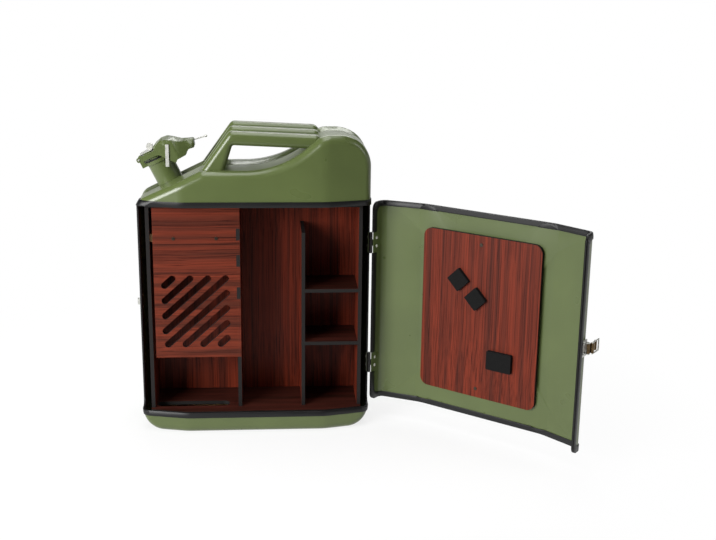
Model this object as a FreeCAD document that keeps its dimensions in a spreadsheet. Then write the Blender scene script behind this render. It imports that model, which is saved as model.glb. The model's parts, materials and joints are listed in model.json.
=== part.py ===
import FreeCAD, Part
import math
import os
import re
from types import SimpleNamespace
from FreeCAD import Placement, Rotation, Vector

# Hotel minibar cabinet: a 20 litre pressed steel can whose front is cut out as a tray-like door,
# lined with laminated boards. Millimetres. X right, Y back, Z up, origin on the floor under the
# middle of the closed can. The door and its pieces are made closed, then swung open.

doc = FreeCAD.newDocument("minibar_cabinet")

driving_sizes = [
    # The pressed can.
    ("can_width", "345"), ("can_depth", "165"), ("flat_width", "210"), ("bevel_drop", "16"),
    ("fold_radius", "60"), ("base_radius", "32"), ("edge_radius", "12"), ("wall", "1.2"),
    ("shoulder_low", "357"), ("shoulder_radius", "20"),
    ("shoulder_run", "96.5"), ("rise_run", "53.5"), ("valley_height", "404"), ("rise_straight", "1"),
    ("hump_run", "73"), ("hump_rise", "52"), ("hump_rise_radius", "30"), ("hump_radius", "48"),
    ("rear_taper", "4"),
    ("groove_depth", "4.5"), ("groove_reach", "21"), ("bead_width", "5"), ("bead_height", "1.6"),
    ("emboss_height", "195"), ("emboss_depth", "2.2"), ("emboss_bar", "38"), ("emboss_reach", "185"),
    ("emboss_angle", "53"), ("emboss_side", "6"),
    # The opening, the door cut from it and the rubber edging.
    ("opening_low", "32"), ("opening_high", "353"), ("rim_share", "0.234"), ("opening_corner", "11"),
    ("door_gap", "3.3"), ("door_angle", "140.5"),
    ("trim_leg", "7"), ("trim_thickness", "1.2"),
    # Butt hinges and rivets.
    ("hinge_height", "192.5"), ("hinge_spacing", "192"), ("leaf_height", "31"), ("leaf_length", "17"),
    ("leaf_thickness", "1.2"), ("pin_radius", "1.4"), ("pin_clearance", "0.05"), ("pin_end", "1"),
    ("knuckle_gap", "0.4"), ("knuckle_relief", "0.3"), ("hinge_clearance", "0.3"),
    ("notch_gap", "0.8"),
    ("rivet_radius", "1.6"), ("rivet_head", "2.7"), ("rivet_head_height", "1.1"),
    ("rivet_inset", "10"), ("rivet_spacing", "13.2"), ("hole_clearance", "0.05"),
    # The board lining.
    ("board", "5.5"), ("left_gap", "12.65"), ("right_gap", "11.35"), ("floor_top", "34"),
    ("floor_setback", "3"), ("lining_clearance", "0.3"), ("lining_setback", "23.5"),
    ("lining_back", "21"), ("ceiling_low", "347.5"),
    ("left_divider_edge", "27.2"), ("right_divider_edge", "69.8"), ("right_divider_top", "308.6"),
    ("upper_shelf_top", "221"), ("lower_shelf_top", "137.4"),
    ("drain_length", "111.5"), ("drain_width", "20"), ("drain_start", "1.8"), ("drain_back", "45.4"),
    ("batten", "12"), ("panel_overhang", "4.3"), ("panel_low", "115"), ("slot_width", "10.2"),
    ("slot_angle", "42"), ("slot_rise", "23.8"), ("slot_first", "10.3"), ("slot_field_low", "131"),
    ("slot_field_high", "244"), ("slot_field_inset", "10.4"), ("tab_height", "18"),
    ("tab_clearance", "0.1"), ("upper_tab", "306.5"), ("middle_tab", "266"), ("lower_tab", "216"),
    ("screw_height", "300.5"), ("left_screw_inset", "30.5"), ("right_screw_inset", "29.4"),
    ("screw_radius", "1.5"), ("screw_head", "2.6"), ("screw_head_height", "0.8"),
    ("screw_length", "14"),
    # The board and pads on the door.
    ("door_board_width", "195"), ("door_board_height", "249"), ("door_board_low", "69"),
    ("door_board_edge", "71.5"), ("door_board_corner", "13"), ("spacer", "2.6"),
    ("spacer_radius", "6"), ("door_screw_inset", "13.5"), ("pad_height", "6"),
    ("pad_square", "25.5"), ("pad_long", "40.5"), ("pad_short", "28.5"), ("pad_corner", "1.5"),
    ("upper_pad_across", "134.9"), ("upper_pad_height", "247.5"), ("lower_pad_across", "164.7"),
    ("lower_pad_height", "222.7"), ("long_pad_across", "208"), ("long_pad_height", "133.5"),
    # The spout and its closure, in a frame that stands square on the left shoulder.
    ("spout_along", "51"), ("neck_radius", "19.4"), ("neck_wall", "1.5"), ("neck_height", "37"),
    ("neck_root", "8"), ("lip_reach", "1.8"), ("lip_height", "5"), ("closure_gap", "0.3"),
    ("gasket_height", "2.4"), ("gasket_width", "6"), ("lid_radius", "21.2"), ("lid_height", "7"),
    ("lid_round", "3.1"), ("lug_width", "12"), ("lug_along", "24.2"), ("lug_rise", "10.5"),
    ("eye_wall", "2"), ("closure_pin", "1.6"), ("pin_overhang", "1"),
    ("cheek_gap", "1"), ("cheek_thickness", "1.6"), ("lever_rise", "12"), ("lever_heel", "3.5"),
    ("lever_back", "24"), ("lever_dip", "13.5"), ("lever_swell", "0.5"), ("crown_round", "6"),
    ("back_round", "10"), ("dip_round", "14"), ("belly_round", "4"), ("heel_round", "2"),
    ("tail_reach", "60.5"), ("tail_drop", "19.1"), ("tail_width", "16"), ("taper_along", "30"),
    ("tail_depth", "11.7"), ("belly_along", "41"), ("belly_drop", "4"), ("toe_along", "23"),
    ("stem_along", "14"), ("stem_radius", "5"), ("knob_along", "4.2"), ("knob_rise", "10.5"),
    ("knob_radius", "4.8"), ("knob_width", "8"), ("plate_run", "20"), ("plate_width", "22"),
    ("plate_rise", "5.1"), ("strap_along", "22.5"), ("strap_rise", "1.8"),
    ("strap_width", "5"), ("strap_length", "33"),
    ("wire_radius", "1"), ("wire_length", "26"), ("wire_root", "8"), ("wire_angle", "17"),
    # The carrying handles.
    ("bar_width", "25"), ("bar_spacing", "54"), ("bar_rise", "56"), ("bar_depth", "20"),
    ("bar_fall", "2.5"), ("bar_in", "41.2"), ("foot_out", "6.3"), ("foot_in", "30.9"),
    ("foot_depth", "10"), ("bar_right", "6"), ("bar_bend", "45"), ("bar_nose", "30"),
    ("bar_round", "8"), ("bar_wall", "1.5"), ("bar_under", "45.6"),
    # The draw latch on the door's free side and its keeper.
    ("latch_height", "188.5"), ("latch_plate", "24"), ("latch_reach", "13"), ("latch_thickness", "1.2"),
    ("latch_axis", "5.2"), ("latch_back", "8.84"), ("latch_pin", "1.3"), ("latch_ear", "2.6"),
    ("latch_hub", "2.4"), ("lever_width", "14"), ("lever_length", "20"), ("lever_plate", "1.4"),
    ("lever_roll", "1.9"), ("loop_out", "4.2"), ("loop_forward", "5"), ("loop_eye", "2.2"),
    ("loop_wire", "1"), ("loop_length", "20"), ("keeper_height", "9"), ("keeper_rise", "7"),
    ("keeper_reach", "5.9"), ("keeper_width", "8"),
]

sheet = doc.addObject("Spreadsheet::Sheet", "Dims")
for row, (alias, number) in enumerate(driving_sizes, start=1):
    sheet.set("A%d" % row, alias)
    sheet.set("B%d" % row, number)
    sheet.setAlias("B%d" % row, alias)
doc.recompute()
s = SimpleNamespace(**{alias: float(sheet.get(alias)) for alias, number in driving_sizes})

half_width = s.can_width / 2
front = -s.can_depth / 2
sub_parts = []


# ---- helpers -------------------------------------------------------------------------------

def keep(obj, label, placement=None):
    """Names a sub-part, places it and lists it for export."""
    obj.Label = label
    if placement is not None:
        obj.Placement = placement
    sub_parts.append(obj)
    return obj


def piece(label, shape, placement=None):
    """A sub-part whose shape is worked out with Part's own functions."""
    obj = doc.addObject("Part::Feature", label)
    obj.Shape = shape
    if placement is not None:
        placement = placement.multiply(shape.Placement)
    return keep(obj, label, placement)


def cells(formula):
    """A formula over the sheet's sizes, each alias written out as a cell of the sheet."""
    return re.sub(r"[a-z_]+", lambda found: "Dims." + found.group(), formula)


def at(x, y, z, direction=Vector(0, 0, 1), within=Placement()):
    """The placement of a primitive: its corner or base, its axis and the frame it stands in."""
    return within.multiply(Placement(Vector(x, y, z), Rotation(Vector(0, 0, 1), direction)))


def bound(kind, name, placement, **sizes):
    """A Part primitive whose sizes are expressions over the sheet."""
    obj = doc.addObject("Part::" + kind, name)
    for size, formula in sizes.items():
        obj.setExpression(size, cells(formula))
    obj.Placement = placement
    return obj


def taken(name, base, tools):
    """The base object with every tool object taken from it."""
    obj = doc.addObject("Part::Cut", name)
    obj.Base = base
    obj.Tool = tools[0]
    if len(tools) > 1:
        obj.Tool = doc.addObject("Part::MultiFuse", name + "_tools")
        obj.Tool.Shapes = tools
    return obj


# The numbers that the edges of a Part::Box along Y, and the top circle of a Part::Cylinder, have.
edges_along_y = [2, 4, 6, 8]
top_circle = 3


def rounded(name, base, radius, edges):
    """The base object with the numbered edges filleted."""
    obj = doc.addObject("Part::Fillet", name)
    obj.Base = base
    obj.Edges = [(edge, radius, radius) for edge in edges]
    return obj


def block(low, high):
    """A box between two corners."""
    size = high - low
    return Part.makeBox(size.x, size.y, size.z, low)


def rounded_wire(corners, inset, to_point):
    """A closed outline through clockwise corners (a, b, radius), moved inwards by inset."""
    count = len(corners)
    lines = []
    for index in range(count):
        a1, b1, radius = corners[index]
        a2, b2, radius = corners[(index + 1) % count]
        length = math.hypot(a2 - a1, b2 - b1)
        along = ((a2 - a1) / length, (b2 - b1) / length)
        inward = (along[1], -along[0])
        lines.append((a1 + inset * inward[0], b1 + inset * inward[1], along[0], along[1]))
    starts = []
    arcs = []
    ends = []
    for index in range(count):
        pa, pb, ua, ub = lines[index - 1]
        qa, qb, va, vb = lines[index]
        cross = ua * vb - ub * va
        reach = ((qa - pa) * vb - (qb - pb) * va) / cross
        corner = Vector(pa + reach * ua, pb + reach * ub, 0)
        radius = corners[index][2]
        if radius > 0:
            radius = radius - inset if cross < 0 else radius + inset
        turn = math.atan2(abs(cross), ua * va + ub * vb)
        cut = radius * math.tan(turn / 2)
        before = corner - Vector(ua, ub, 0) * cut
        after = corner + Vector(va, vb, 0) * cut
        middle = None
        if radius > 0:
            inner = (Vector(va, vb, 0) - Vector(ua, ub, 0)).normalize()
            middle = corner + inner * (radius / math.cos(turn / 2) - radius)
        starts.append(before)
        arcs.append(middle)
        ends.append(after)
    edges = []
    for index in range(count):
        begin = to_point(starts[index].x, starts[index].y)
        finish = to_point(ends[index].x, ends[index].y)
        following = starts[(index + 1) % count]
        if arcs[index] is not None:
            middle = to_point(arcs[index].x, arcs[index].y)
            edges.append(Part.Arc(begin, middle, finish).toShape())
        edges.append(Part.LineSegment(finish, to_point(following.x, following.y)).toShape())
    return Part.Wire(edges)


def rivet(start, direction, grip, radius, head, head_height):
    """A rivet with a sloping head on both sides of what it grips."""
    shank = Part.makeCylinder(radius, grip, start, direction)
    near = Part.makeCone(head, head * 0.6, head_height, start, direction * -1)
    far = Part.makeCone(head, head * 0.6, head_height, start + direction * grip, direction)
    return shank.fuse([near, far]).removeSplitter()


# ---- the can's form ------------------------------------------------------------------------

# The rise from the valley to the hump is one long hollow curve that ends in a short round one.
hump_height = s.valley_height + s.hump_rise
valley_left = half_width - s.shoulder_run
hump_left = half_width - s.hump_run
rise_half_turn = math.tan(math.atan2(s.hump_rise, s.rise_run) / 2)
rise_curved = math.hypot(s.rise_run, s.hump_rise) - s.rise_straight
valley_radius = rise_curved / rise_half_turn - s.hump_rise_radius

# The outline seen from the front, clockwise from the lower left: shoulder, valley, hump.
outline_corners = [
    (-half_width, 0, s.base_radius),
    (-half_width, s.shoulder_low, s.shoulder_radius),
    (-valley_left, s.valley_height, s.shoulder_radius),
    (hump_left - s.rise_run, s.valley_height, valley_radius),
    (hump_left, hump_height, s.hump_rise_radius),
    (half_width, hump_height, s.hump_radius),
    (half_width, 0, s.base_radius),
]

# The front seen from above: a flat between two bevelled flanks.
bevel_run = half_width - s.flat_width / 2
overhang = 2 * bevel_run
plan_corners = [
    (-half_width - overhang + bevel_run, front + 2 * s.bevel_drop, 0),
    (-half_width - overhang + bevel_run, s.can_depth, 0),
    (half_width + overhang - bevel_run, s.can_depth, 0),
    (half_width + overhang - bevel_run, front + 2 * s.bevel_drop, 0),
    (s.flat_width / 2, front, s.fold_radius),
    (-s.flat_width / 2, front, s.fold_radius),
]


def emboss_bar(inset, angle):
    """One arm of the pressed cross, as a tapered bar to take from the front."""
    sides = []
    for depth, spread in ((-s.emboss_side / 2, s.emboss_side), (s.emboss_depth, 0)):
        width = s.emboss_bar / 2 + spread + inset
        reach = s.emboss_reach + spread + inset
        corners = [
            (-reach, -width, width * 0.9),
            (-reach, width, width * 0.9),
            (reach, width, width * 0.9),
            (reach, -width, width * 0.9),
        ]
        height = front + depth + inset
        sides.append(rounded_wire(corners, 0, lambda a, b, y=height: Vector(a, y, b)))
    bar = Part.makeLoft(sides, True)
    bar.rotate(Vector(0, 0, 0), Vector(0, 1, 0), angle)
    bar.translate(Vector(0, 0, s.emboss_height))
    return bar


def half_form(inset, taper):
    """A solid half of the can in front of the seam, every face moved inwards by inset.

    The taper is how much smaller the half is all round at its face; its base stays level.
    """
    seam = rounded_wire(outline_corners, inset + s.groove_depth, lambda a, b: Vector(a, 0, b))
    ridge = rounded_wire(outline_corners, inset, lambda a, b: Vector(a, -s.groove_reach, b))
    tapered = Part.makeLoft([seam, ridge], True, True)
    straight = Part.Face(ridge).extrude(Vector(0, -s.can_depth, 0))
    if taper > 0:
        far = rounded_wire(outline_corners, inset + 2 * taper,
                           lambda a, b: Vector(a, s.groove_reach - s.can_depth, b - 2 * taper))
        straight = Part.makeLoft([ridge, far], True, True)
    plan = Part.Face(rounded_wire(plan_corners, inset, lambda a, b: Vector(a, b, -s.can_width)))
    core = tapered.fuse(straight).common(plan.extrude(Vector(0, 0, 3 * s.can_width)))
    pressed = []
    for face in core.Faces:
        low_u, high_u, low_v, high_v = face.ParameterRange
        normal = face.normalAt((low_u + high_u) / 2, (low_v + high_v) / 2)
        if abs(normal.y) > 0.5 and face.CenterOfMass.y < -s.groove_reach:
            pressed.append(face)
    seen = {}
    for face in pressed:
        for edge in face.Edges:
            seen.setdefault(edge.hashCode(), []).append(edge)
    border = [edges[0] for edges in seen.values() if len(edges) == 1]
    form = core.makeFillet(s.edge_radius - inset, border)
    arms = [emboss_bar(inset, s.emboss_angle), emboss_bar(inset, -s.emboss_angle)]
    return form.cut(arms)


outer_form = half_form(0, 0)
inner_form = half_form(s.wall, 0)
rear_outer_form = half_form(0, s.rear_taper).mirror(Vector(0, 0, 0), Vector(0, 1, 0))
rear_inner_form = half_form(s.wall, s.rear_taper).mirror(Vector(0, 0, 0), Vector(0, 1, 0))
sheet_metal = outer_form.cut(inner_form)
whole_form = outer_form.fuse(rear_outer_form)

# The frame of the spout: origin on the left shoulder, its X up the slope, its Z square to it.
slope = math.atan2(s.valley_height - s.shoulder_low, s.shoulder_run)
shoulder_start = Vector(-half_width, 0, s.shoulder_low)
up_slope = Vector(math.cos(slope), 0, math.sin(slope))
spout_origin = shoulder_start + up_slope * (s.spout_along)
spout = Placement(spout_origin, Rotation(Vector(0, 1, 0), -math.degrees(slope)))
neck_plug = Part.makeCylinder(s.neck_radius, 4 * s.neck_height, Vector(0, 0, -2 * s.neck_height))
neck_plug.Placement = spout

# The cut that parts the door from the can, seen from the side, and the door's own edge.
rim = -s.can_depth * s.rim_share
door_rim = rim - s.door_gap


def side_region(low, high, back, corner):
    """What lies in front of a rim, between two heights, right across the can."""
    corners = [
        (-s.can_depth, low, 0),
        (-s.can_depth, high, 0),
        (back, high, corner),
        (back, low, corner),
    ]
    face = Part.Face(rounded_wire(corners, 0, lambda a, b: Vector(-s.can_width, a, b)))
    return face.extrude(Vector(2 * s.can_width, 0, 0))


door_low = s.opening_low + s.door_gap
door_high = s.opening_high - s.door_gap
door_corner = s.opening_corner - s.door_gap / 2
opening_region = side_region(s.opening_low, s.opening_high, rim, s.opening_corner)
door_region = side_region(door_low, door_high, door_rim, door_corner)

# The hinge axis stands beside the right flank, in the middle of the gap between the rims.
knuckle_radius = s.pin_radius + s.pin_clearance + s.leaf_thickness
axis_x = half_width + knuckle_radius + s.hinge_clearance
axis_y = (rim + door_rim) / 2
swing = Placement(Vector(0, 0, 0), Rotation(Vector(0, 0, 1), s.door_angle), Vector(axis_x, axis_y, 0))
hinge_places = {
    "upper": s.hinge_height + s.hinge_spacing / 2,
    "lower": s.hinge_height - s.hinge_spacing / 2,
}


def hinge_holes(side):
    """The rivet holes of both hinges, behind the axis for the can and before it for the door."""
    holes = []
    for middle in hinge_places.values():
        for step in (-0.5, 0.5):
            centre = Vector(half_width - s.can_depth / 8, axis_y + side * s.rivet_inset, middle)
            centre.z += step * s.rivet_spacing
            radius = s.rivet_radius + s.hole_clearance
            holes.append(Part.makeCylinder(radius, s.can_depth / 4, centre, Vector(1, 0, 0)))
    return holes


def hinge_notches():
    """Room in the rubber edging for the hinges."""
    notches = []
    for middle in hinge_places.values():
        reach = s.leaf_height / 2 + s.notch_gap
        low = Vector(half_width - s.leaf_length, axis_y - s.leaf_length, middle - reach)
        high = Vector(half_width + s.leaf_length, axis_y + s.leaf_length, middle + reach)
        notches.append(block(low, high))
    return notches


# ---- shells, weld and edging ---------------------------------------------------------------

keeper_middle = s.latch_height + s.keeper_rise
keeper_y = rim + s.trim_leg + s.notch_gap + s.keeper_width / 2
keeper_holes = []
keeper_points = []
for step in (-1, 1):
    point = Vector(-half_width, keeper_y, keeper_middle + step * s.keeper_height)
    keeper_points.append(point)
    keeper_holes.append(Part.makeCylinder(
        s.rivet_radius + s.hole_clearance, s.leaf_length, point - Vector(s.leaf_length / 2, 0, 0),
        Vector(1, 0, 0)))

piece("front_half_shell", sheet_metal.cut([opening_region, neck_plug] + hinge_holes(1) + keeper_holes))
piece("rear_half_shell", rear_outer_form.cut([rear_inner_form, neck_plug]))


def seam_ring(low_inset, high_inset, thickness):
    """A flat ring that follows the can's outline about the seam."""
    shapes = []
    for inset in (low_inset, high_inset):
        wire = rounded_wire(outline_corners, inset, lambda a, b: Vector(a, -thickness / 2, b))
        shapes.append(Part.Face(wire).extrude(Vector(0, thickness, 0)))
    return shapes[0].cut(shapes[1])


bead_ring = seam_ring(s.groove_depth - s.bead_height, s.groove_depth, s.bead_width)
piece("seam_bead", bead_ring.cut([whole_form, neck_plug]))

# The rubber edging is a channel pushed over the cut edge: a skin on both faces and round the edge.
edging_skin = half_form(-s.trim_thickness, 0).cut(half_form(s.wall + s.trim_thickness, 0))
body_band = side_region(
    s.opening_low - s.trim_leg, s.opening_high + s.trim_leg, rim + s.trim_leg,
    s.opening_corner + s.trim_leg)
body_hollow = side_region(
    s.opening_low + s.trim_thickness, s.opening_high - s.trim_thickness, rim - s.trim_thickness,
    s.opening_corner - s.trim_thickness)
body_sheet = sheet_metal.cut(opening_region)
body_edging = edging_skin.common(body_band).cut([body_hollow, body_sheet] + hinge_notches())
piece("body_edge_trim", body_edging)

door_sheet = sheet_metal.common(door_region)
door_band = side_region(
    door_low - s.trim_thickness, door_high + s.trim_thickness, door_rim + s.trim_thickness,
    door_corner + s.trim_thickness)
door_hollow = side_region(
    door_low + s.trim_leg, door_high - s.trim_leg, door_rim - s.trim_leg,
    door_corner)
door_edging = edging_skin.common(door_band).cut([door_hollow, door_sheet] + hinge_notches())
piece("door_edge_trim", door_edging, swing)

latch_middle = s.latch_height
latch_points = []
latch_holes = []
for step in (-0.5, 0.5):
    point = Vector(-half_width, door_rim - s.trim_leg - s.latch_reach * 0.3, latch_middle)
    point.z += step * (s.latch_plate - 3 * s.rivet_head)
    latch_points.append(point)
    latch_holes.append(Part.makeCylinder(
        s.rivet_radius + s.hole_clearance, s.leaf_length, point - Vector(s.leaf_length / 2, 0, 0),
        Vector(1, 0, 0)))

board_front = front + s.wall + s.spacer + s.board
board_middle = half_width - s.door_board_edge - s.door_board_width / 2
board_screws = [
    Vector(board_middle, front, s.door_board_low + s.door_screw_inset),
    Vector(board_middle, front, s.door_board_low + s.door_board_height - s.door_screw_inset),
]
door_screw_holes = []
for point in board_screws:
    door_screw_holes.append(Part.makeCylinder(
        s.screw_radius + s.hole_clearance, s.can_depth / 2, point - Vector(0, s.board, 0),
        Vector(0, 1, 0)))
piece("door_shell", door_sheet.cut(hinge_holes(-1) + latch_holes + door_screw_holes), swing)


# ---- butt hinges ---------------------------------------------------------------------------

def hinge_leaf(middle, side, spans):
    """A leaf flat on the can's flank with its own knuckles; side is 1 on the can, -1 on the door."""
    inner_x = half_width
    outer_x = half_width + s.leaf_thickness
    start = knuckle_radius + s.hinge_clearance + s.knuckle_relief
    base = axis_y + side * start
    tip = axis_y + side * s.leaf_length
    low = Vector(inner_x, min(base, tip), middle - s.leaf_height / 2)
    high = Vector(outer_x, max(base, tip), middle + s.leaf_height / 2)
    leaf = block(low, high)
    for span_low, span_high in spans:
        centre = Vector(axis_x, axis_y, span_low)
        height = span_high - span_low
        knuckle = Part.makeCylinder(knuckle_radius, height, centre)
        tab_low = Vector(inner_x, min(axis_y, base), span_low)
        tab_high = Vector(outer_x, max(axis_y, base), span_high)
        leaf = leaf.fuse([knuckle, block(tab_low, tab_high)])
        leaf = leaf.cut(Part.makeCylinder(s.pin_radius + s.pin_clearance, height, centre))
    for step in (-0.5, 0.5):
        hole = Vector(inner_x - s.leaf_thickness, axis_y + side * s.rivet_inset, middle)
        hole.z += step * s.rivet_spacing
        radius = s.rivet_radius + s.hole_clearance
        leaf = leaf.cut(Part.makeCylinder(radius, 3 * s.leaf_thickness, hole, Vector(1, 0, 0)))
    return leaf.removeSplitter()


knuckle_formula = "pin_radius + pin_clearance + leaf_thickness"
for name, middle in hinge_places.items():
    bottom = middle - s.leaf_height / 2
    third = s.leaf_height / 3
    outer_spans = [(bottom, bottom + third), (bottom + 2 * third, bottom + 3 * third)]
    inner_span = [(bottom + third + s.knuckle_gap, bottom + 2 * third - s.knuckle_gap)]
    piece(name + "_hinge_body_leaf", hinge_leaf(middle, 1, outer_spans))
    piece(name + "_hinge_door_leaf", hinge_leaf(middle, -1, inner_span), swing)
    shaft = bound("Cylinder", name + "_hinge_shaft", at(axis_x, axis_y, bottom),
                  Radius="pin_radius", Height="leaf_height")
    ends = []
    for end, way in ((bottom, -1), (bottom + s.leaf_height, 1)):
        ends.append(bound("Cone", name + "_hinge_pin_end", at(axis_x, axis_y, end, Vector(0, 0, way)),
                          Radius1=knuckle_formula, Radius2="pin_radius", Height="pin_end"))
    hinge_pin = doc.addObject("Part::MultiFuse", name + "_hinge_pin")
    hinge_pin.Shapes = [shaft] + ends
    keep(hinge_pin, name + "_hinge_pin")


def hinge_rivets(side):
    """The rivets of one side of both hinges, from inside the sheet to outside the leaf."""
    rivets = []
    for middle in hinge_places.values():
        for step in (-0.5, 0.5):
            start = Vector(half_width - s.wall, axis_y + side * s.rivet_inset, middle)
            start.z += step * s.rivet_spacing
            grip = s.wall + s.leaf_thickness
            rivets.append(rivet(
                start, Vector(1, 0, 0), grip, s.rivet_radius, s.rivet_head, s.rivet_head_height))
    return Part.makeCompound(rivets)


piece("body_hinge_rivets", hinge_rivets(1))
piece("door_hinge_rivets", hinge_rivets(-1), swing)


# ---- spout and closure ---------------------------------------------------------------------

neck_outer = bound("Cylinder", "neck_outer", at(0, 0, -s.neck_root, within=spout),
                   Radius="neck_radius", Height="neck_height + neck_root")
neck_inner = bound("Cylinder", "neck_inner", at(0, 0, -s.neck_root, within=spout),
                   Radius="neck_radius - neck_wall", Height="neck_height + neck_root")
keep(taken("spout_neck", neck_outer, [neck_inner]), "spout_neck")

# The lip carries a lug on its left, whose eye holds the closure's pin.
lip_base = s.neck_height - s.lip_height
lip_radius = s.neck_radius + s.lip_reach
closure_axis = Vector(-s.lug_along, 0, s.neck_height + s.lug_rise)
eye_radius = s.closure_pin + s.eye_wall
lip = Part.makeCylinder(lip_radius, s.lip_height, Vector(0, 0, lip_base))
eye = Part.makeCylinder(
    eye_radius, s.lug_width, closure_axis - Vector(0, s.lug_width / 2, 0), Vector(0, 1, 0))
post = block(
    Vector(closure_axis.x - eye_radius, -s.lug_width / 2, lip_base),
    Vector(-s.lid_radius - s.closure_gap, s.lug_width / 2, closure_axis.z))
bridge = block(
    Vector(closure_axis.x, -s.lug_width / 2, lip_base), Vector(0, s.lug_width / 2, s.neck_height))
lip = lip.fuse([eye, post, bridge]).cut(Part.makeCylinder(s.neck_radius, s.neck_height))
pin_reach = lip_radius + s.cheek_gap + s.cheek_thickness + s.pin_overhang
pin_bore = Part.makeCylinder(
    s.closure_pin + s.pin_clearance, 4 * pin_reach, closure_axis - Vector(0, 2 * pin_reach, 0),
    Vector(0, 1, 0))
piece("neck_lip", lip.cut(pin_bore).removeSplitter(), spout)

gasket_base = s.neck_height + s.closure_gap
gasket_outer = bound("Cylinder", "gasket_outer", at(0, 0, gasket_base, within=spout),
                     Radius="neck_radius + lip_reach / 2", Height="gasket_height")
gasket_inner = bound("Cylinder", "gasket_inner", at(0, 0, gasket_base, within=spout),
                     Radius="neck_radius + lip_reach / 2 - gasket_width", Height="gasket_height")
keep(taken("cap_gasket", gasket_outer, [gasket_inner]), "cap_gasket")

lid_base = gasket_base + s.gasket_height
lid_top = lid_base + s.lid_height
lid_disc = bound("Cylinder", "lid_disc", at(0, 0, lid_base, within=spout),
                 Radius="lid_radius", Height="lid_height")
doc.recompute()
keep(rounded("cap_lid", lid_disc, s.lid_round, [top_circle]), "cap_lid")

# The lever is a channel over the lid: a humped back with a narrow tail towards the handle, and
# two slim arms that reach left to the pin.
cheek_inner = lip_radius + s.cheek_gap
cheek_outer = cheek_inner + s.cheek_thickness
lever_crown = lid_top + s.lever_rise
tail_top = lever_crown - s.tail_drop
tail_low = tail_top - s.tail_depth
belly_low = tail_low - s.belly_drop
eye_round = eye_radius * 0.8
lever_corners = [
    (closure_axis.x - eye_radius, closure_axis.z - eye_radius, eye_round),
    (closure_axis.x - eye_radius, closure_axis.z + eye_radius, eye_round),
    (s.lever_heel - s.cheek_thickness, closure_axis.z + eye_radius - s.lever_swell, s.heel_round),
    (s.lever_heel, lever_crown - s.eye_wall, s.heel_round),
    (s.stem_along, lever_crown + s.lever_swell, s.crown_round),
    (s.lever_back, lever_crown - s.lever_swell, s.back_round),
    (s.belly_along + s.closure_pin, lever_crown - s.lever_dip, s.dip_round),
    (s.tail_reach, tail_top, s.heel_round),
    (s.tail_reach - s.belly_drop, tail_low, s.heel_round),
    (s.belly_along + s.crown_round, tail_low + s.heel_round, s.belly_round),
    (s.belly_along, belly_low, s.belly_round),
    (s.toe_along + s.belly_drop, belly_low, s.belly_round),
    (s.toe_along, belly_low - s.belly_drop, s.heel_round),
    (s.lever_heel + s.closure_pin, closure_axis.z - eye_radius - s.closure_pin, s.belly_round),
]
profile = Part.Face(rounded_wire(lever_corners, 0, lambda a, b: Vector(a, -cheek_outer, b)))
core_profile = Part.Face(rounded_wire(lever_corners, s.cheek_thickness,
                                      lambda a, b: Vector(a, -cheek_inner, b)))
lever_end = s.tail_reach + s.belly_drop
lever_plan = [
    (-s.can_width, -cheek_outer, 0),
    (-s.can_width, cheek_outer, 0),
    (s.taper_along, cheek_outer, s.back_round),
    (lever_end, s.tail_width / 2, 0),
    (lever_end, -s.tail_width / 2, 0),
    (s.taper_along, -cheek_outer, s.back_round),
]
plan_bodies = []
for inset in (0, s.cheek_thickness):
    outline = rounded_wire(lever_plan, inset, lambda a, b: Vector(a, b, -s.can_width))
    plan_bodies.append(Part.Face(outline).extrude(Vector(0, 0, 2 * s.can_width)))
lever = profile.extrude(Vector(0, 2 * cheek_outer, 0)).common(plan_bodies[0])
channel = core_profile.extrude(Vector(0, 2 * cheek_inner, 0)).common(plan_bodies[1])
arm_room = block(
    Vector(-s.can_width, -cheek_inner, -s.can_width), Vector(0, cheek_inner, s.can_width))
over_lid = block(
    Vector(-s.can_width, -cheek_inner, -s.can_width),
    Vector(s.toe_along + s.belly_drop, cheek_inner, lid_top + s.closure_gap))
under_tail = block(
    Vector(s.lid_radius, -cheek_inner, -s.can_width),
    Vector(s.can_width, cheek_inner, tail_low + s.cheek_thickness)).common(plan_bodies[1])
strap_centre = Vector(s.strap_along, 0, lid_top + s.strap_rise)
strap_bore = Part.makeCylinder(
    s.closure_pin + s.pin_clearance, 4 * cheek_outer,
    Vector(strap_centre.x, -2 * cheek_outer, strap_centre.z), Vector(0, 1, 0))
wire_start = Vector(s.tail_reach - s.wire_root, 0, tail_top - s.wire_radius)
wire_turn = slope - math.radians(s.wire_angle)
wire_way = Vector(math.cos(wire_turn), 0, -math.sin(wire_turn))
wire_bore = Part.makeCylinder(s.wire_radius + s.pin_clearance, s.wire_length, wire_start, wire_way)
lever = lever.cut([channel, arm_room, over_lid, under_tail, pin_bore, strap_bore, wire_bore])
piece("cap_lever", lever.removeSplitter(), spout)

stem = Part.makeCylinder(s.stem_radius, s.lever_rise, Vector(s.stem_along, 0, lid_top))
piece("cap_stem", stem.common(channel), spout)

keep(bound("Cylinder", "cap_hinge_pin",
           at(closure_axis.x, -pin_reach, closure_axis.z, Vector(0, 1, 0), spout),
           Radius="closure_pin",
           Height="2 * (neck_radius + lip_reach + cheek_gap + cheek_thickness + pin_overhang)"),
     "cap_hinge_pin")

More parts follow.
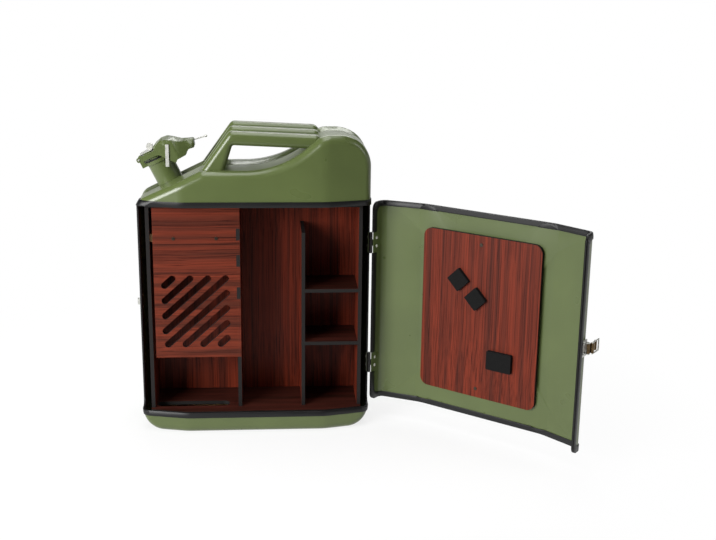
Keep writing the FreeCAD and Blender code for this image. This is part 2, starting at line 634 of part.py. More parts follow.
# A round knob stands on a narrow bracket between the lever's arms, over a plate that hides the pin.
knob_post = bound("Box", "knob_post",
                  at(-s.knob_along - s.stem_radius / 2, -s.knob_width / 2, lid_top, within=spout),
                  Length="stem_radius", Width="knob_width", Height="knob_rise")
knob_disc = bound("Cylinder", "knob_disc",
                  at(-s.knob_along, -s.knob_width / 2, lid_top + s.knob_rise, Vector(0, 1, 0), spout),
                  Radius="knob_radius", Height="knob_width")
knob_plate = bound("Box", "knob_plate",
                   at(-s.knob_along - s.plate_run + s.stem_radius / 2, -s.plate_width / 2,
                      lid_top + s.plate_rise, within=spout),
                   Length="plate_run", Width="plate_width", Height="cheek_thickness")
lid_knob = doc.addObject("Part::MultiFuse", "lid_knob")
lid_knob.Shapes = [knob_post, knob_disc, knob_plate]
keep(lid_knob, "lid_knob")

# Two upright straps lie outside the lever's cheeks and hang free beside the neck.
upright = Rotation(Vector(0, 1, 0), math.degrees(slope))
straps = []
for side in (-1, 1):
    near = side * (cheek_outer + s.closure_gap)
    far = near + side * s.cheek_thickness
    low = Vector(-s.strap_width / 2, min(near, far), -s.strap_length + s.strap_width / 2)
    high = Vector(s.strap_width / 2, max(near, far), s.strap_width / 2)
    strap = block(low, high)
    strap.Placement = Placement(strap_centre, upright)
    stub = Part.makeCylinder(
        s.closure_pin, s.cheek_thickness * 2 + s.closure_gap + s.pin_overhang,
        Vector(strap_centre.x, side * (cheek_inner - s.pin_overhang), strap_centre.z),
        Vector(0, side, 0))
    straps.append(strap.fuse(stub).removeSplitter())
piece("closure_straps", Part.makeCompound(straps), spout)


# A wire pin locks the tail of the lever and sticks out towards the handle.
wire = Part.makeCylinder(s.wire_radius, s.wire_length, wire_start, wire_way)
wire = wire.fuse(Part.makeSphere(2 * s.wire_radius, wire_start + wire_way * s.wire_length))
piece("locking_pin", wire.removeSplitter(), spout)


# ---- carrying handles ----------------------------------------------------------------------

# Each bar stands on the valley with a slanted leg, runs right and bends down into the hump.
fall = math.tan(math.radians(s.bar_fall))
bar_top = s.valley_height + s.bar_rise
bar_left = s.bar_in - valley_left
foot_left = -valley_left - s.foot_out
foot_right = s.foot_in - valley_left
inner_left = s.bar_under - valley_left
bend_top = Vector(hump_left - s.bar_right, 0, 0)
bend_top.z = bar_top - (bend_top.x - bar_left) * fall
bend = math.radians(s.bar_bend)
nose_way = Vector(math.cos(bend), 0, -math.sin(bend))
nose_square = Vector(-math.sin(bend), 0, -math.cos(bend))
middle_turn = (bend + math.radians(s.bar_fall)) / 2
bend_square = Vector(-math.sin(middle_turn), 0, -math.cos(middle_turn))
bend_low = bend_top + bend_square * (s.bar_depth / math.cos(bend - middle_turn))
nose_top = bend_top + nose_way * s.bar_nose
nose_low = nose_top + nose_square * s.bar_depth
foot_level = s.valley_height - s.foot_depth
bar_corners = [
    (foot_left, foot_level, 0),
    (bar_left, bar_top, s.bar_round * 1.25),
    (bend_top.x, bend_top.z, s.bar_round * 1.25),
    (nose_top.x, nose_top.z, 0),
    (nose_low.x, nose_low.z, 0),
    (bend_low.x, bend_low.z, s.bar_round / 2),
    (inner_left, bend_low.z + (bend_low.x - inner_left) * fall, s.bar_round / 2),
    (foot_right, foot_level, 0),
]
bar_ends = [
    (nose_top + nose_low) * 0.5,
    Vector((foot_left + foot_right) / 2, 0, foot_level),
]


def handle_bar(inset):
    """A rounded bar along the handle's outline, every side moved inwards by inset."""
    width = s.bar_width - 2 * inset
    wire = rounded_wire(bar_corners, inset, lambda a, b: Vector(a, -width / 2, b))
    bar = Part.Face(wire).extrude(Vector(0, width, 0))
    long_edges = []
    for edge in bar.Edges:
        centre = edge.CenterOfMass
        on_side = abs(abs(centre.y) - width / 2) < 0.01
        centre.y = 0
        to_ends = [(centre - end).Length for end in bar_ends]
        if on_side and min(to_ends) > s.bar_depth / 4:
            long_edges.append(edge)
    return bar.makeFillet(s.bar_round - inset, long_edges)


bar_shape = handle_bar(0).cut(handle_bar(s.bar_wall))
for name, step in (("front", -1), ("middle", 0), ("rear", 1)):
    bar = bar_shape.copy()
    bar.translate(Vector(0, step * s.bar_spacing, 0))
    outside = bar.cut([whole_form, bead_ring]).Solids
    piece("handle_" + name, max(outside, key=lambda solid: solid.Volume))


# ---- board lining --------------------------------------------------------------------------

left_wall = -half_width + s.left_gap + s.board
right_wall = half_width - s.right_gap - s.board
lining_y = front + s.lining_setback
inner_width = "can_width - left_gap - right_gap - 2 * board"
bay_depth = "can_depth / 2 - lining_setback + lining_back"
tall = "ceiling_low + board - floor_top"
keep(bound("Box", "left_side_panel", at(left_wall - s.board, lining_y, s.floor_top),
           Length="board", Width=bay_depth + " + board", Height=tall), "left_side_panel")
keep(bound("Box", "right_side_panel", at(right_wall, lining_y, s.floor_top),
           Length="board", Width=bay_depth + " + board", Height=tall), "right_side_panel")
keep(bound("Box", "back_panel", at(left_wall, s.lining_back, s.floor_top),
           Length=inner_width, Width="board", Height=tall), "back_panel")
keep(bound("Box", "ceiling_panel", at(left_wall, lining_y, s.ceiling_low),
           Length=inner_width, Width=bay_depth, Height="board"), "ceiling_panel")

floor_front = front + s.floor_setback
floor_low = Vector(left_wall - s.board, floor_front, s.floor_top - s.board)
floor_high = Vector(right_wall + s.board, s.lining_back + s.board, s.floor_top)
floor_inset = s.wall + s.trim_thickness + s.lining_clearance
floor_plan = Part.Face(rounded_wire(plan_corners, floor_inset, lambda a, b: Vector(a, b, 0)))
drain_left = left_wall + s.drain_start + s.drain_width / 2
drain_right = drain_left + s.drain_length - s.drain_width
drain_tools = [block(
    Vector(drain_left, -s.drain_back - s.drain_width / 2, 0),
    Vector(drain_right, -s.drain_back + s.drain_width / 2, 2 * s.floor_top))]
for end_x in (drain_left, drain_right):
    drain_tools.append(Part.makeCylinder(
        s.drain_width / 2, 2 * s.floor_top, Vector(end_x, -s.drain_back, 0)))
floor_board = block(floor_low, floor_high).common(floor_plan.extrude(Vector(0, 0, s.can_width)))
piece("floor_panel", floor_board.cut(drain_tools))

runners = []
for runner_y in (floor_front + s.batten, s.lining_back + s.board - s.batten):
    low = Vector(left_wall, runner_y, 0)
    high = Vector(right_wall, runner_y + s.batten, s.floor_top - s.board)
    runners.append(block(low, high).common(inner_form.fuse(rear_inner_form)))
piece("floor_runners", Part.makeCompound(runners))

keep(bound("Box", "right_divider", at(s.right_divider_edge, lining_y, s.floor_top),
           Length="board", Width=bay_depth, Height="right_divider_top - floor_top"), "right_divider")
shelf_left = s.right_divider_edge + s.board
shelf_length = "can_width / 2 - right_gap - 2 * board - right_divider_edge"
for label, top in (("upper_shelf", s.upper_shelf_top), ("lower_shelf", s.lower_shelf_top)):
    keep(bound("Box", label, at(shelf_left, lining_y, top - s.board),
               Length=shelf_length, Width=bay_depth, Height="board"), label)

# The left divider steps back behind the slotted panel and reaches through it with three tabs.
divider_left = -s.left_divider_edge
divider_board = block(
    Vector(divider_left, lining_y, s.floor_top),
    Vector(divider_left + s.board, s.lining_back, s.ceiling_low))
tab_places = [s.upper_tab, s.middle_tab, s.lower_tab]
step_low = s.panel_low
divider_tools = []
step_levels = [step_low]
for middle in reversed(tab_places):
    step_levels.extend([middle - s.tab_height / 2, middle + s.tab_height / 2])
step_levels.append(s.ceiling_low + s.board)
for index in range(0, len(step_levels), 2):
    low = Vector(divider_left - s.board, lining_y - s.board, step_levels[index])
    high = Vector(divider_left + 2 * s.board, lining_y + s.board, step_levels[index + 1])
    divider_tools.append(block(low, high))
piece("left_divider", divider_board.cut(divider_tools))

panel_left = left_wall + s.panel_overhang
panel_right = divider_left + s.board
panel_base = Vector(panel_left, lining_y, s.panel_low)
panel = block(panel_base, Vector(panel_right, lining_y + s.board, s.ceiling_low))
slot_left = panel_left + s.slot_field_inset + s.slot_width / 2
slot_right = divider_left - s.slot_field_inset - s.slot_width / 2
slot_low = s.slot_field_low + s.slot_width / 2
slot_high = s.slot_field_high - s.slot_width / 2
slope_slot = math.tan(math.radians(s.slot_angle))
slot_span = slot_high - slot_low + (slot_right - slot_left) * slope_slot - s.slot_first
slot_count = int(slot_span / s.slot_rise) + 1
slots = []
for index in range(slot_count):
    start_level = slot_high - s.slot_first - index * s.slot_rise
    begin_x = max(slot_left, slot_left + (slot_low - start_level) / slope_slot)
    end_x = min(slot_right, slot_left + (slot_high - start_level) / slope_slot)
    begin = Vector(begin_x, lining_y, start_level + (begin_x - slot_left) * slope_slot)
    end = Vector(end_x, lining_y, start_level + (end_x - slot_left) * slope_slot)
    if (end - begin).Length < s.slot_width:
        continue
    length = (end - begin).Length
    bar = block(Vector(0, -s.board, -s.slot_width / 2), Vector(length, 2 * s.board, s.slot_width / 2))
    bar.Placement = Placement(begin, Rotation(Vector(0, 1, 0), -s.slot_angle))
    ends = [Part.makeCylinder(s.slot_width / 2, 3 * s.board, point - Vector(0, s.board, 0),
                              Vector(0, 1, 0)) for point in (begin, end)]
    slots.append(bar.fuse(ends))
tab_slots = []
for middle in tab_places:
    reach = s.tab_height / 2 + s.tab_clearance
    low = Vector(divider_left - s.tab_clearance, lining_y - 1, middle - reach)
    high = Vector(divider_left + 2 * s.board, lining_y + 2 * s.board, middle + reach)
    tab_slots.append(block(low, high))
screw_places = [panel_left + s.left_screw_inset, divider_left - s.right_screw_inset]
screw_bores = []
screws = []
for screw_x in screw_places:
    face = Vector(screw_x, lining_y, s.screw_height)
    head = Part.makeCylinder(s.screw_head, s.screw_head_height, face - Vector(0, s.screw_head_height, 0),
                             Vector(0, 1, 0))
    shank = Part.makeCylinder(s.screw_radius, s.screw_length, face, Vector(0, 1, 0))
    screws.append(head.fuse(shank))
    screw_bores.append(Part.makeCylinder(
        s.screw_radius + s.hole_clearance, s.screw_length + 1, face, Vector(0, 1, 0)))
piece("slotted_panel", panel.cut(slots + tab_slots + screw_bores))
piece("panel_screws", Part.makeCompound(screws))
batten_box = bound("Box", "batten_box",
                   at(left_wall, lining_y + s.board, s.screw_height - s.batten / 2),
                   Length="can_width / 2 - left_gap - board - left_divider_edge",
                   Width="batten", Height="batten")
batten_bores = []
for screw_x in screw_places:
    batten_bores.append(bound("Cylinder", "batten_bore",
                              at(screw_x, lining_y, s.screw_height, Vector(0, 1, 0)),
                              Radius="screw_radius + hole_clearance", Height="screw_length + 1"))
keep(taken("panel_batten", batten_box, batten_bores), "panel_batten")


# ---- board and pads on the door ------------------------------------------------------------

board_blank = bound("Box", "board_blank",
                    at(board_middle - s.door_board_width / 2, board_front - s.board,
                       s.door_board_low, within=swing),
                    Length="door_board_width", Width="board", Height="door_board_height")
doc.recompute()
board_round = rounded("board_round", board_blank, s.door_board_corner, edges_along_y)
board_bores = []
spacers = []
door_screws = []
for point in board_screws:
    seat_y = front + s.wall
    board_bores.append(bound("Cylinder", "board_bore",
                             at(point.x, front, point.z, Vector(0, 1, 0), swing),
                             Radius="screw_radius + hole_clearance", Height="can_depth"))
    disc = bound("Cylinder", "spacer_disc", at(point.x, seat_y, point.z, Vector(0, 1, 0), swing),
                 Radius="spacer_radius", Height="spacer")
    bore = bound("Cylinder", "spacer_bore", at(point.x, seat_y, point.z, Vector(0, 1, 0), swing),
                 Radius="screw_radius + hole_clearance", Height="spacer")
    spacers.append(taken("board_spacer", disc, [bore]))
    inner_end = Vector(point.x, board_front, point.z)
    shank = Part.makeCylinder(
        s.screw_radius, board_front - front + s.wall, inner_end, Vector(0, -1, 0))
    head = Part.makeCylinder(s.screw_head, s.screw_head_height, inner_end, Vector(0, 1, 0))
    door_screws.append(head.fuse(shank))
keep(taken("door_board", board_round, board_bores), "door_board")
spacer_pair = doc.addObject("Part::Compound", "door_board_spacers")
spacer_pair.Links = spacers
keep(spacer_pair, "door_board_spacers")
piece("door_board_screws", Part.makeCompound(door_screws), swing)


def foam_pad(label, across, height, width, tall_side, turn):
    """A flat foam pad on the door board; across is measured from the hinge side of the can."""
    centre = Placement(
        Vector(half_width - across, board_front, height), Rotation(Vector(0, 1, 0), turn))
    blank = bound("Box", label + "_blank",
                  at(-getattr(s, width) / 2, 0, -getattr(s, tall_side) / 2,
                     within=swing.multiply(centre)),
                  Length=width, Width="pad_height", Height=tall_side)
    doc.recompute()
    keep(rounded(label, blank, s.pad_corner, edges_along_y), label)


square = "pad_square"
foam_pad("upper_square_pad", s.upper_pad_across, s.upper_pad_height, square, square, 45)
foam_pad("lower_square_pad", s.lower_pad_across, s.lower_pad_height, square, square, 45)
foam_pad("long_pad", s.long_pad_across, s.long_pad_height, "pad_long", "pad_short", 0)


# ---- draw latch and keeper -----------------------------------------------------------------

flank = -half_width
plate_front = door_rim - s.trim_leg - s.notch_gap
plate = block(
    Vector(flank - s.latch_thickness, plate_front - s.latch_reach, latch_middle - s.latch_plate / 2),
    Vector(flank, plate_front, latch_middle + s.latch_plate / 2))
latch_axis = Vector(flank - s.latch_axis, plate_front - s.latch_back, latch_middle)
ear_outer = s.lever_width / 2 + s.hinge_clearance + s.latch_thickness
for step in (-1, 1):
    near = latch_middle + step * (s.lever_width / 2 + s.hinge_clearance)
    far = near + step * s.latch_thickness
    low = Vector(latch_axis.x, latch_axis.y - s.latch_ear, min(near, far))
    high = Vector(flank, latch_axis.y + s.latch_ear, max(near, far))
    round_end = Part.makeCylinder(
        s.latch_ear, s.latch_thickness, Vector(latch_axis.x, latch_axis.y, low.z))
    plate = plate.fuse([block(low, high), round_end])
pin_length = 2 * ear_outer + s.pin_overhang
pin_base = Vector(latch_axis.x, latch_axis.y, latch_middle - pin_length / 2)
axis_bore = Part.makeCylinder(s.latch_pin + s.pin_clearance, pin_length, pin_base)
rivet_bores = []
for point in latch_points:
    rivet_bores.append(Part.makeCylinder(
        s.rivet_radius + s.hole_clearance, s.leaf_length, point - Vector(s.leaf_length / 2, 0, 0),
        Vector(1, 0, 0)))
piece("latch_base", plate.cut([axis_bore] + rivet_bores).removeSplitter(), swing)
keep(bound("Cylinder", "latch_pin", at(pin_base.x, pin_base.y, pin_base.z, within=swing),
           Radius="latch_pin",
           Height="lever_width + 2 * (hinge_clearance + latch_thickness) + pin_overhang"),
     "latch_pin")
latch_rivets = []
for point in latch_points:
    latch_rivets.append(rivet(
        point + Vector(s.wall, 0, 0), Vector(-1, 0, 0), s.wall + s.latch_thickness, s.rivet_radius,
        s.rivet_head, s.rivet_head_height))
piece("latch_rivets", Part.makeCompound(latch_rivets), swing)

# The lever is a curled plate with a rolled end; the loop is a wire bail on the same lever.
lever_low = latch_middle - s.lever_width / 2
hub = Part.makeCylinder(s.latch_hub, s.lever_width, Vector(latch_axis.x, latch_axis.y, lever_low))
arm_low = Vector(latch_axis.x - s.latch_hub, latch_axis.y - s.lever_length, lever_low)
arm_high = Vector(arm_low.x + s.lever_plate, latch_axis.y, lever_low + s.lever_width)
tip = Vector(latch_axis.x - s.lever_roll, latch_axis.y - s.lever_length, lever_low)
lever = hub.fuse([block(arm_low, arm_high), Part.makeCylinder(s.lever_roll, s.lever_width, tip)])
loop_axis = Vector(latch_axis.x - s.loop_out, latch_axis.y - s.loop_forward, latch_middle)
eye_base = Vector(loop_axis.x, loop_axis.y, lever_low)
lever = lever.fuse(Part.makeCylinder(s.loop_eye, s.lever_width, eye_base)).cut(axis_bore)
lever = lever.cut(Part.makeCylinder(s.loop_wire + s.pin_clearance, s.lever_width, eye_base))
piece("latch_lever", lever.removeSplitter(), swing)

loop_half = s.lever_width / 2 + s.hinge_clearance + s.loop_wire
loop_points = [
    Vector(loop_axis.x, loop_axis.y, latch_middle - loop_half),
    Vector(loop_axis.x, loop_axis.y, latch_middle + loop_half),
    Vector(loop_axis.x, loop_axis.y - s.loop_length, latch_middle + loop_half),
    Vector(loop_axis.x, loop_axis.y - s.loop_length, latch_middle - loop_half),
]
loop = None
for index, point in enumerate(loop_points):
    following = loop_points[(index + 1) % 4]
    run = Part.makeCylinder(s.loop_wire, (following - point).Length, point, following - point)
    run = run.fuse(Part.makeSphere(s.loop_wire, point))
    loop = run if loop is None else loop.fuse(run)
piece("latch_loop", loop.removeSplitter(), swing)

keeper_end = s.keeper_height + s.rivet_head + s.notch_gap
keeper_base = block(
    Vector(flank - s.latch_thickness, keeper_y - s.keeper_width / 2, keeper_middle - keeper_end),
    Vector(flank, keeper_y + s.keeper_width / 2, keeper_middle + keeper_end))
hook_low = keeper_middle - s.keeper_height / 2
hook_high = keeper_middle + s.keeper_height / 2
hook = block(
    Vector(flank - s.keeper_reach, keeper_y - s.keeper_width / 2, hook_low),
    Vector(flank, keeper_y - s.keeper_width / 2 + s.cheek_thickness, hook_high))
curl = block(
    Vector(flank - s.keeper_reach, keeper_y - s.keeper_width / 2, hook_low),
    Vector(flank - s.keeper_reach + s.cheek_thickness, keeper_y + s.keeper_width / 2, hook_high))
keeper = keeper_base.fuse([hook, curl]).cut(keeper_holes)
piece("latch_keeper", keeper.removeSplitter())
keeper_rivets = []
for point in keeper_points:
    keeper_rivets.append(rivet(
        point + Vector(s.wall, 0, 0), Vector(-1, 0, 0), s.wall + s.latch_thickness, s.rivet_radius,
        s.rivet_head, s.rivet_head_height))
piece("keeper_rivets", Part.makeCompound(keeper_rivets))


# ---- report ------------------------------------------------------------------------------
doc.recompute()
os.makedirs("parts", exist_ok=True)
for obj in doc.Objects:
    if "Invalid" in obj.State or "Error" in obj.State:
        raise RuntimeError("%s failed: %s" % (obj.Name, obj.State))
for obj in sub_parts:
    if obj.Shape.isNull() or not obj.Shape.isValid():
        raise RuntimeError("%s has no valid shape" % obj.Label)
    obj.Shape.exportStep("parts/%s.step" % obj.Label)
    print(obj.Label, len(obj.Shape.Solids), round(obj.Shape.Volume))
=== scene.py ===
import json
import math

import bmesh
import bpy
from mathutils import Matrix, Vector


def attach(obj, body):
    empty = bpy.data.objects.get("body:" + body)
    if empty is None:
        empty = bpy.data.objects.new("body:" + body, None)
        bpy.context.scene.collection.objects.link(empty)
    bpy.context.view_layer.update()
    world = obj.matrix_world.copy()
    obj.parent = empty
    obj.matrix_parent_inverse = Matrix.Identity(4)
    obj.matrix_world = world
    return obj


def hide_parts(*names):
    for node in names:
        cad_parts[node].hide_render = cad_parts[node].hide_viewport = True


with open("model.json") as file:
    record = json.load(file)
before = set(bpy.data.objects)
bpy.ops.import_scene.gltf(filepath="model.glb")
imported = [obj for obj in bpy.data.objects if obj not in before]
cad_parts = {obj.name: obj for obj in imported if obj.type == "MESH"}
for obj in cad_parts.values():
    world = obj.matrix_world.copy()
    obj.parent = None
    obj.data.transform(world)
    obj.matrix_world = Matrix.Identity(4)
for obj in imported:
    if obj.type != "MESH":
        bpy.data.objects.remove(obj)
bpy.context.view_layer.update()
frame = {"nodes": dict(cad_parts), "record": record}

# ---- Camera -----------------------------------------------------------------------------------
# A camera a little above and in front of the can, turned slightly to the right and held almost
# level. Its place, turn and lens were worked out from the can's real width.
mm = 0.001
camera_place = Vector((26.1, -1682.8, 695.3)) * mm
turn = math.radians(4.54)
tilt = math.radians(15.27)
roll = math.radians(-0.77)
ahead = Vector((math.sin(turn) * math.cos(tilt), math.cos(turn) * math.cos(tilt), -math.sin(tilt)))
level_right = Vector((math.cos(turn), -math.sin(turn), 0))
level_down = ahead.cross(level_right)
camera_right = level_right * math.cos(roll) + level_down * math.sin(roll)
camera_down = level_down * math.cos(roll) - level_right * math.sin(roll)
camera_data = bpy.data.cameras.new("camera")
camera_data.lens = 56.3
camera_data.sensor_width = 36
camera = bpy.data.objects.new("camera", camera_data)
columns = Matrix((camera_right, -camera_down, -ahead)).transposed()
camera.matrix_world = Matrix.Translation(camera_place) @ columns.to_4x4()
bpy.context.collection.objects.link(camera)
bpy.context.scene.camera = camera
bpy.context.scene.view_settings.view_transform = "Standard"


# ---- Studio -----------------------------------------------------------------------------------
# A white floor that runs out to a white surround, a low soft box in front on the left, a weak
# one on the right, a wide one overhead and a small one behind.
def linear(code):
    """An sRGB hex colour as the linear values that sockets take."""
    values = []
    for place in (0, 2, 4):
        value = int(code[place:place + 2], 16) / 255
        values.append(value / 12.92 if value <= 0.04045 else ((value + 0.055) / 1.055) ** 2.4)
    return (*values, 1)


def add(tree, kind, settings=None, links=None):
    """A node with its settings, as attributes or input values, and its incoming links."""
    made = tree.nodes.new(kind)
    for name, value in (settings or {}).items():
        if isinstance(name, str) and hasattr(made, name):
            setattr(made, name, value)
        else:
            made.inputs[name].default_value = value
    for name, source in (links or {}).items():
        tree.links.new(source, made.inputs[name])
    return made


def blank_material(name):
    """An empty node material and its output node."""
    material = bpy.data.materials.new(name)
    material.use_nodes = True
    material.node_tree.nodes.clear()
    return material, material.node_tree, add(material.node_tree, "ShaderNodeOutputMaterial")


# The floor is seen white, with a faint shadow kept near the can. Far in front it is dark to all
# but the camera, so that it lights the can less from there and the enamel mirrors less of it.
dark_until, white_from = -800 * mm, -400 * mm
dark_tone, white_tone = 0.1, 0.86
shadow_until, clean_from = 300 * mm, 750 * mm
near_white, full_white = 0.8, 1.0
floor_paint, tree, output = blank_material("white_studio_floor")
light_path = add(tree, "ShaderNodeLightPath")
place = add(tree, "ShaderNodeTexCoord").outputs["Object"]
reach = add(tree, "ShaderNodeVectorMath", {"operation": "LENGTH"}, {0: place})
axes = add(tree, "ShaderNodeSeparateXYZ", {}, {0: place})
paper = add(tree, "ShaderNodeMapRange", {
    "From Min": dark_until, "From Max": white_from,
    "To Min": dark_tone, "To Max": white_tone}, {
    "Value": axes.outputs["Y"]})
lit = add(tree, "ShaderNodeBsdfDiffuse", {}, {"Color": paper.outputs[0]})
glow = add(tree, "ShaderNodeEmission", {"Color": (1, 1, 1, 1), "Strength": 1.0})
whiteness = add(tree, "ShaderNodeMapRange", {
    "From Min": shadow_until, "From Max": clean_from,
    "To Min": near_white, "To Max": full_white}, {
    "Value": reach.outputs["Value"]})
mirrored = add(tree, "ShaderNodeMath", {"operation": "MULTIPLY"}, {
    0: light_path.outputs["Is Glossy Ray"], 1: paper.outputs[0]})
share = add(tree, "ShaderNodeMath", {"operation": "MULTIPLY_ADD"}, {
    0: light_path.outputs["Is Camera Ray"], 1: whiteness.outputs[0], 2: mirrored.outputs[0]})
both = add(tree, "ShaderNodeMixShader", {}, {
    0: share.outputs[0], 1: lit.outputs[0], 2: glow.outputs[0]})
tree.links.new(both.outputs[0], output.inputs["Surface"])

floor_reach = 12000 * mm
floor_mesh = bpy.data.meshes.new("studio_floor")
floor_bm = bmesh.new()
bmesh.ops.create_grid(floor_bm, x_segments=1, y_segments=1, size=floor_reach)
floor_bm.to_mesh(floor_mesh)
floor_bm.free()
floor = bpy.data.objects.new("studio_floor", floor_mesh)
floor_mesh.materials.append(floor_paint)
bpy.context.collection.objects.link(floor)

# Shiny pieces mirror a bright band low at the sides and behind, dark ahead of the can and
# overhead. All other light from the surround is a faint even grey. The limits are parts of a
# direction one unit long, towards the back and upwards.
dark_ahead, bright_beside, dark_above = 0.04, 0.75, 0.05
ahead_until, beside_from = -0.6, -0.2
low_until, above_from = 0.1, 0.26
even_grey = 0.1
world = bpy.data.worlds.new("white_surround")
bpy.context.scene.world = world
world.use_nodes = True
world.node_tree.nodes.clear()
tree = world.node_tree
world_output = add(tree, "ShaderNodeOutputWorld")
world_path = add(tree, "ShaderNodeLightPath")
world_seen = add(tree, "ShaderNodeMath", {"operation": "MAXIMUM"}, {
    0: world_path.outputs["Is Camera Ray"], 1: world_path.outputs["Is Transmission Ray"]})
heading = add(tree, "ShaderNodeSeparateXYZ", {}, {
    0: add(tree, "ShaderNodeTexCoord").outputs["Generated"]})
beside = add(tree, "ShaderNodeMapRange", {
    "From Min": ahead_until, "From Max": beside_from,
    "To Min": dark_ahead, "To Max": bright_beside}, {
    "Value": heading.outputs["Y"]})
low = add(tree, "ShaderNodeMapRange", {
    "From Min": low_until, "From Max": above_from, "To Min": 1.0, "To Max": dark_above}, {
    "Value": heading.outputs["Z"]})
band = add(tree, "ShaderNodeMath", {"operation": "MULTIPLY"}, {
    0: beside.outputs[0], 1: low.outputs[0]})
around = add(tree, "ShaderNodeMix", {2: even_grey}, {
    0: world_path.outputs["Is Glossy Ray"], 3: band.outputs[0]})
ambient = add(tree, "ShaderNodeBackground", {"Color": (1, 1, 1, 1)}, {
    "Strength": around.outputs[0]})
backdrop = add(tree, "ShaderNodeBackground", {"Color": (1, 1, 1, 1), "Strength": 1.0})
world_mix = add(tree, "ShaderNodeMixShader", {}, {
    0: world_seen.outputs[0], 1: ambient.outputs[0], 2: backdrop.outputs[0]})
tree.links.new(world_mix.outputs[0], world_output.inputs["Surface"])

# Each soft box has its place, its width and height in mm, and its power in watts. All face aim.
aim = Vector((60, 0, 230)) * mm
soft_boxes = {
    "left_box": ((-1480, -1430, 800), (1200, 1000), 67),
    "right_box": ((1900, -700, 1200), (1000, 1000), 8),
    "top_box": ((0, 0, 2000), (2000, 1000), 27),
    "back_box": ((300, 1500, 1300), (1200, 600), 10),
}
for name, (place, (width, height), power) in soft_boxes.items():
    data = bpy.data.lights.new(name, "AREA")
    data.shape = "RECTANGLE"
    data.size = width * mm
    data.size_y = height * mm
    data.energy = power
    lamp = bpy.data.objects.new(name, data)
    lamp.location = Vector(place) * mm
    lamp.rotation_euler = (aim - lamp.location).to_track_quat("-Z", "Y").to_euler()
    bpy.context.collection.objects.link(lamp)


# ---- Pressed steel can, handles and spout, in olive enamel -----------------------------------
# Two deep-drawn sheet steel halves welded round their middle, three hollow carrying bars and a
# tilted neck. All of it is sprayed with one coat of gloss olive enamel after welding.
def enamel(name, dark, light):
    """Alkyd enamel sprayed on steel: a deep even colour, faint orange peel and a soft gloss."""
    cloud, ripple, orange_peel = 111 * mm, 38.5 * mm, 2.38 * mm
    ripple_share, peel_height = 1.5, 0.1 * mm
    material, tree, output = blank_material(name)
    place = add(tree, "ShaderNodeTexCoord").outputs["Object"]
    drift = add(tree, "ShaderNodeTexNoise", {"Scale": 1 / cloud, "Detail": 3}, {"Vector": place})
    tint = add(tree, "ShaderNodeValToRGB", {}, {"Fac": drift.outputs["Fac"]})
    tint.color_ramp.elements[0].position = 0.3
    tint.color_ramp.elements[0].color = linear(dark)
    tint.color_ramp.elements[1].position = 0.7
    tint.color_ramp.elements[1].color = linear(light)
    peel = add(tree, "ShaderNodeTexNoise", {"Scale": 1 / orange_peel, "Detail": 1}, {"Vector": place})
    wave = add(tree, "ShaderNodeTexNoise", {"Scale": 1 / ripple, "Detail": 2}, {"Vector": place})
    height = add(tree, "ShaderNodeMath", {"operation": "MULTIPLY_ADD", 1: ripple_share}, {
        0: wave.outputs["Fac"], 2: peel.outputs["Fac"]})
    bump = add(tree, "ShaderNodeBump", {"Strength": 0.1, "Distance": peel_height}, {
        "Height": height.outputs[0]})
    haze = add(tree, "ShaderNodeMapRange", {"To Min": 0.25, "To Max": 0.33}, {
        "Value": wave.outputs["Fac"]})
    shader = add(tree, "ShaderNodeBsdfPrincipled", {"IOR": 1.5}, {
        "Base Color": tint.outputs["Color"], "Roughness": haze.outputs[0],
        "Normal": bump.outputs["Normal"]})
    tree.links.new(shader.outputs[0], output.inputs["Surface"])
    return material


def body_of(node):
    """The moving group that a node belongs to."""
    for body, members in frame["record"]["behaviour"]["bodies"].items():
        if node in members:
            return body


def stand_in(piece, node):
    """A finished piece takes a node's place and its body."""
    bpy.context.collection.objects.link(piece)
    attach(piece, body_of(node))
    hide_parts(node)


merge_distance = 0.002 * mm
sheet_crease = 32


def pressed_copy(node, material, crease=sheet_crease):
    """A merged copy of a node's mesh, shaded smooth up to its creases, that stands for it."""
    bm = bmesh.new()
    bm.from_mesh(frame["nodes"][node].data)
    bmesh.ops.remove_doubles(bm, verts=bm.verts, dist=merge_distance)
    mesh = bpy.data.meshes.new(node + "_skin")
    bm.to_mesh(mesh)
    bm.free()
    mesh.materials.append(material)
    mesh.shade_smooth()
    mesh.set_sharp_from_angle(angle=math.radians(crease))
    piece = bpy.data.objects.new(node + "_skin", mesh)
    weighting = piece.modifiers.new("even_normals", "WEIGHTED_NORMAL")
    weighting.keep_sharp = True
    weighting.weight = 100
    stand_in(piece, node)


olive = enamel("olive_enamel", "4b5630", "546036")
for node in ("front_half_shell", "rear_half_shell", "seam_bead", "handle_front", "handle_middle",
             "handle_rear", "spout_neck", "neck_lip", "cap_lid", "cap_lever", "cap_stem",
             "door_shell"):
    pressed_copy(node, olive)


# ---- Rubber edging and gasket ----------------------------------------------------------------
# Extruded U-shaped profiles of black EPDM, pushed over the cut sheet edges of the can and the
# door, and the gasket in the lid. They are nearly black, with a slight sheen on rounded backs.
# The grain of the skin is too fine to show and is drawn at about 1 mm, to soften the highlights.
bloom_patch, skin_grain, skin_height = 16.7 * mm, 1.11 * mm, 0.1 * mm
rubber_crease = 60
rubber, tree, output = blank_material("black_rubber_edging")
place = add(tree, "ShaderNodeTexCoord").outputs["Object"]
bloom = add(tree, "ShaderNodeTexNoise", {"Scale": 1 / bloom_patch, "Detail": 4}, {"Vector": place})
skin = add(tree, "ShaderNodeTexNoise", {"Scale": 1 / skin_grain, "Detail": 2}, {"Vector": place})
tone = add(tree, "ShaderNodeValToRGB", {}, {"Fac": bloom.outputs["Fac"]})
tone.color_ramp.elements[0].color = linear("060607")
tone.color_ramp.elements[1].color = linear("0f0f10")
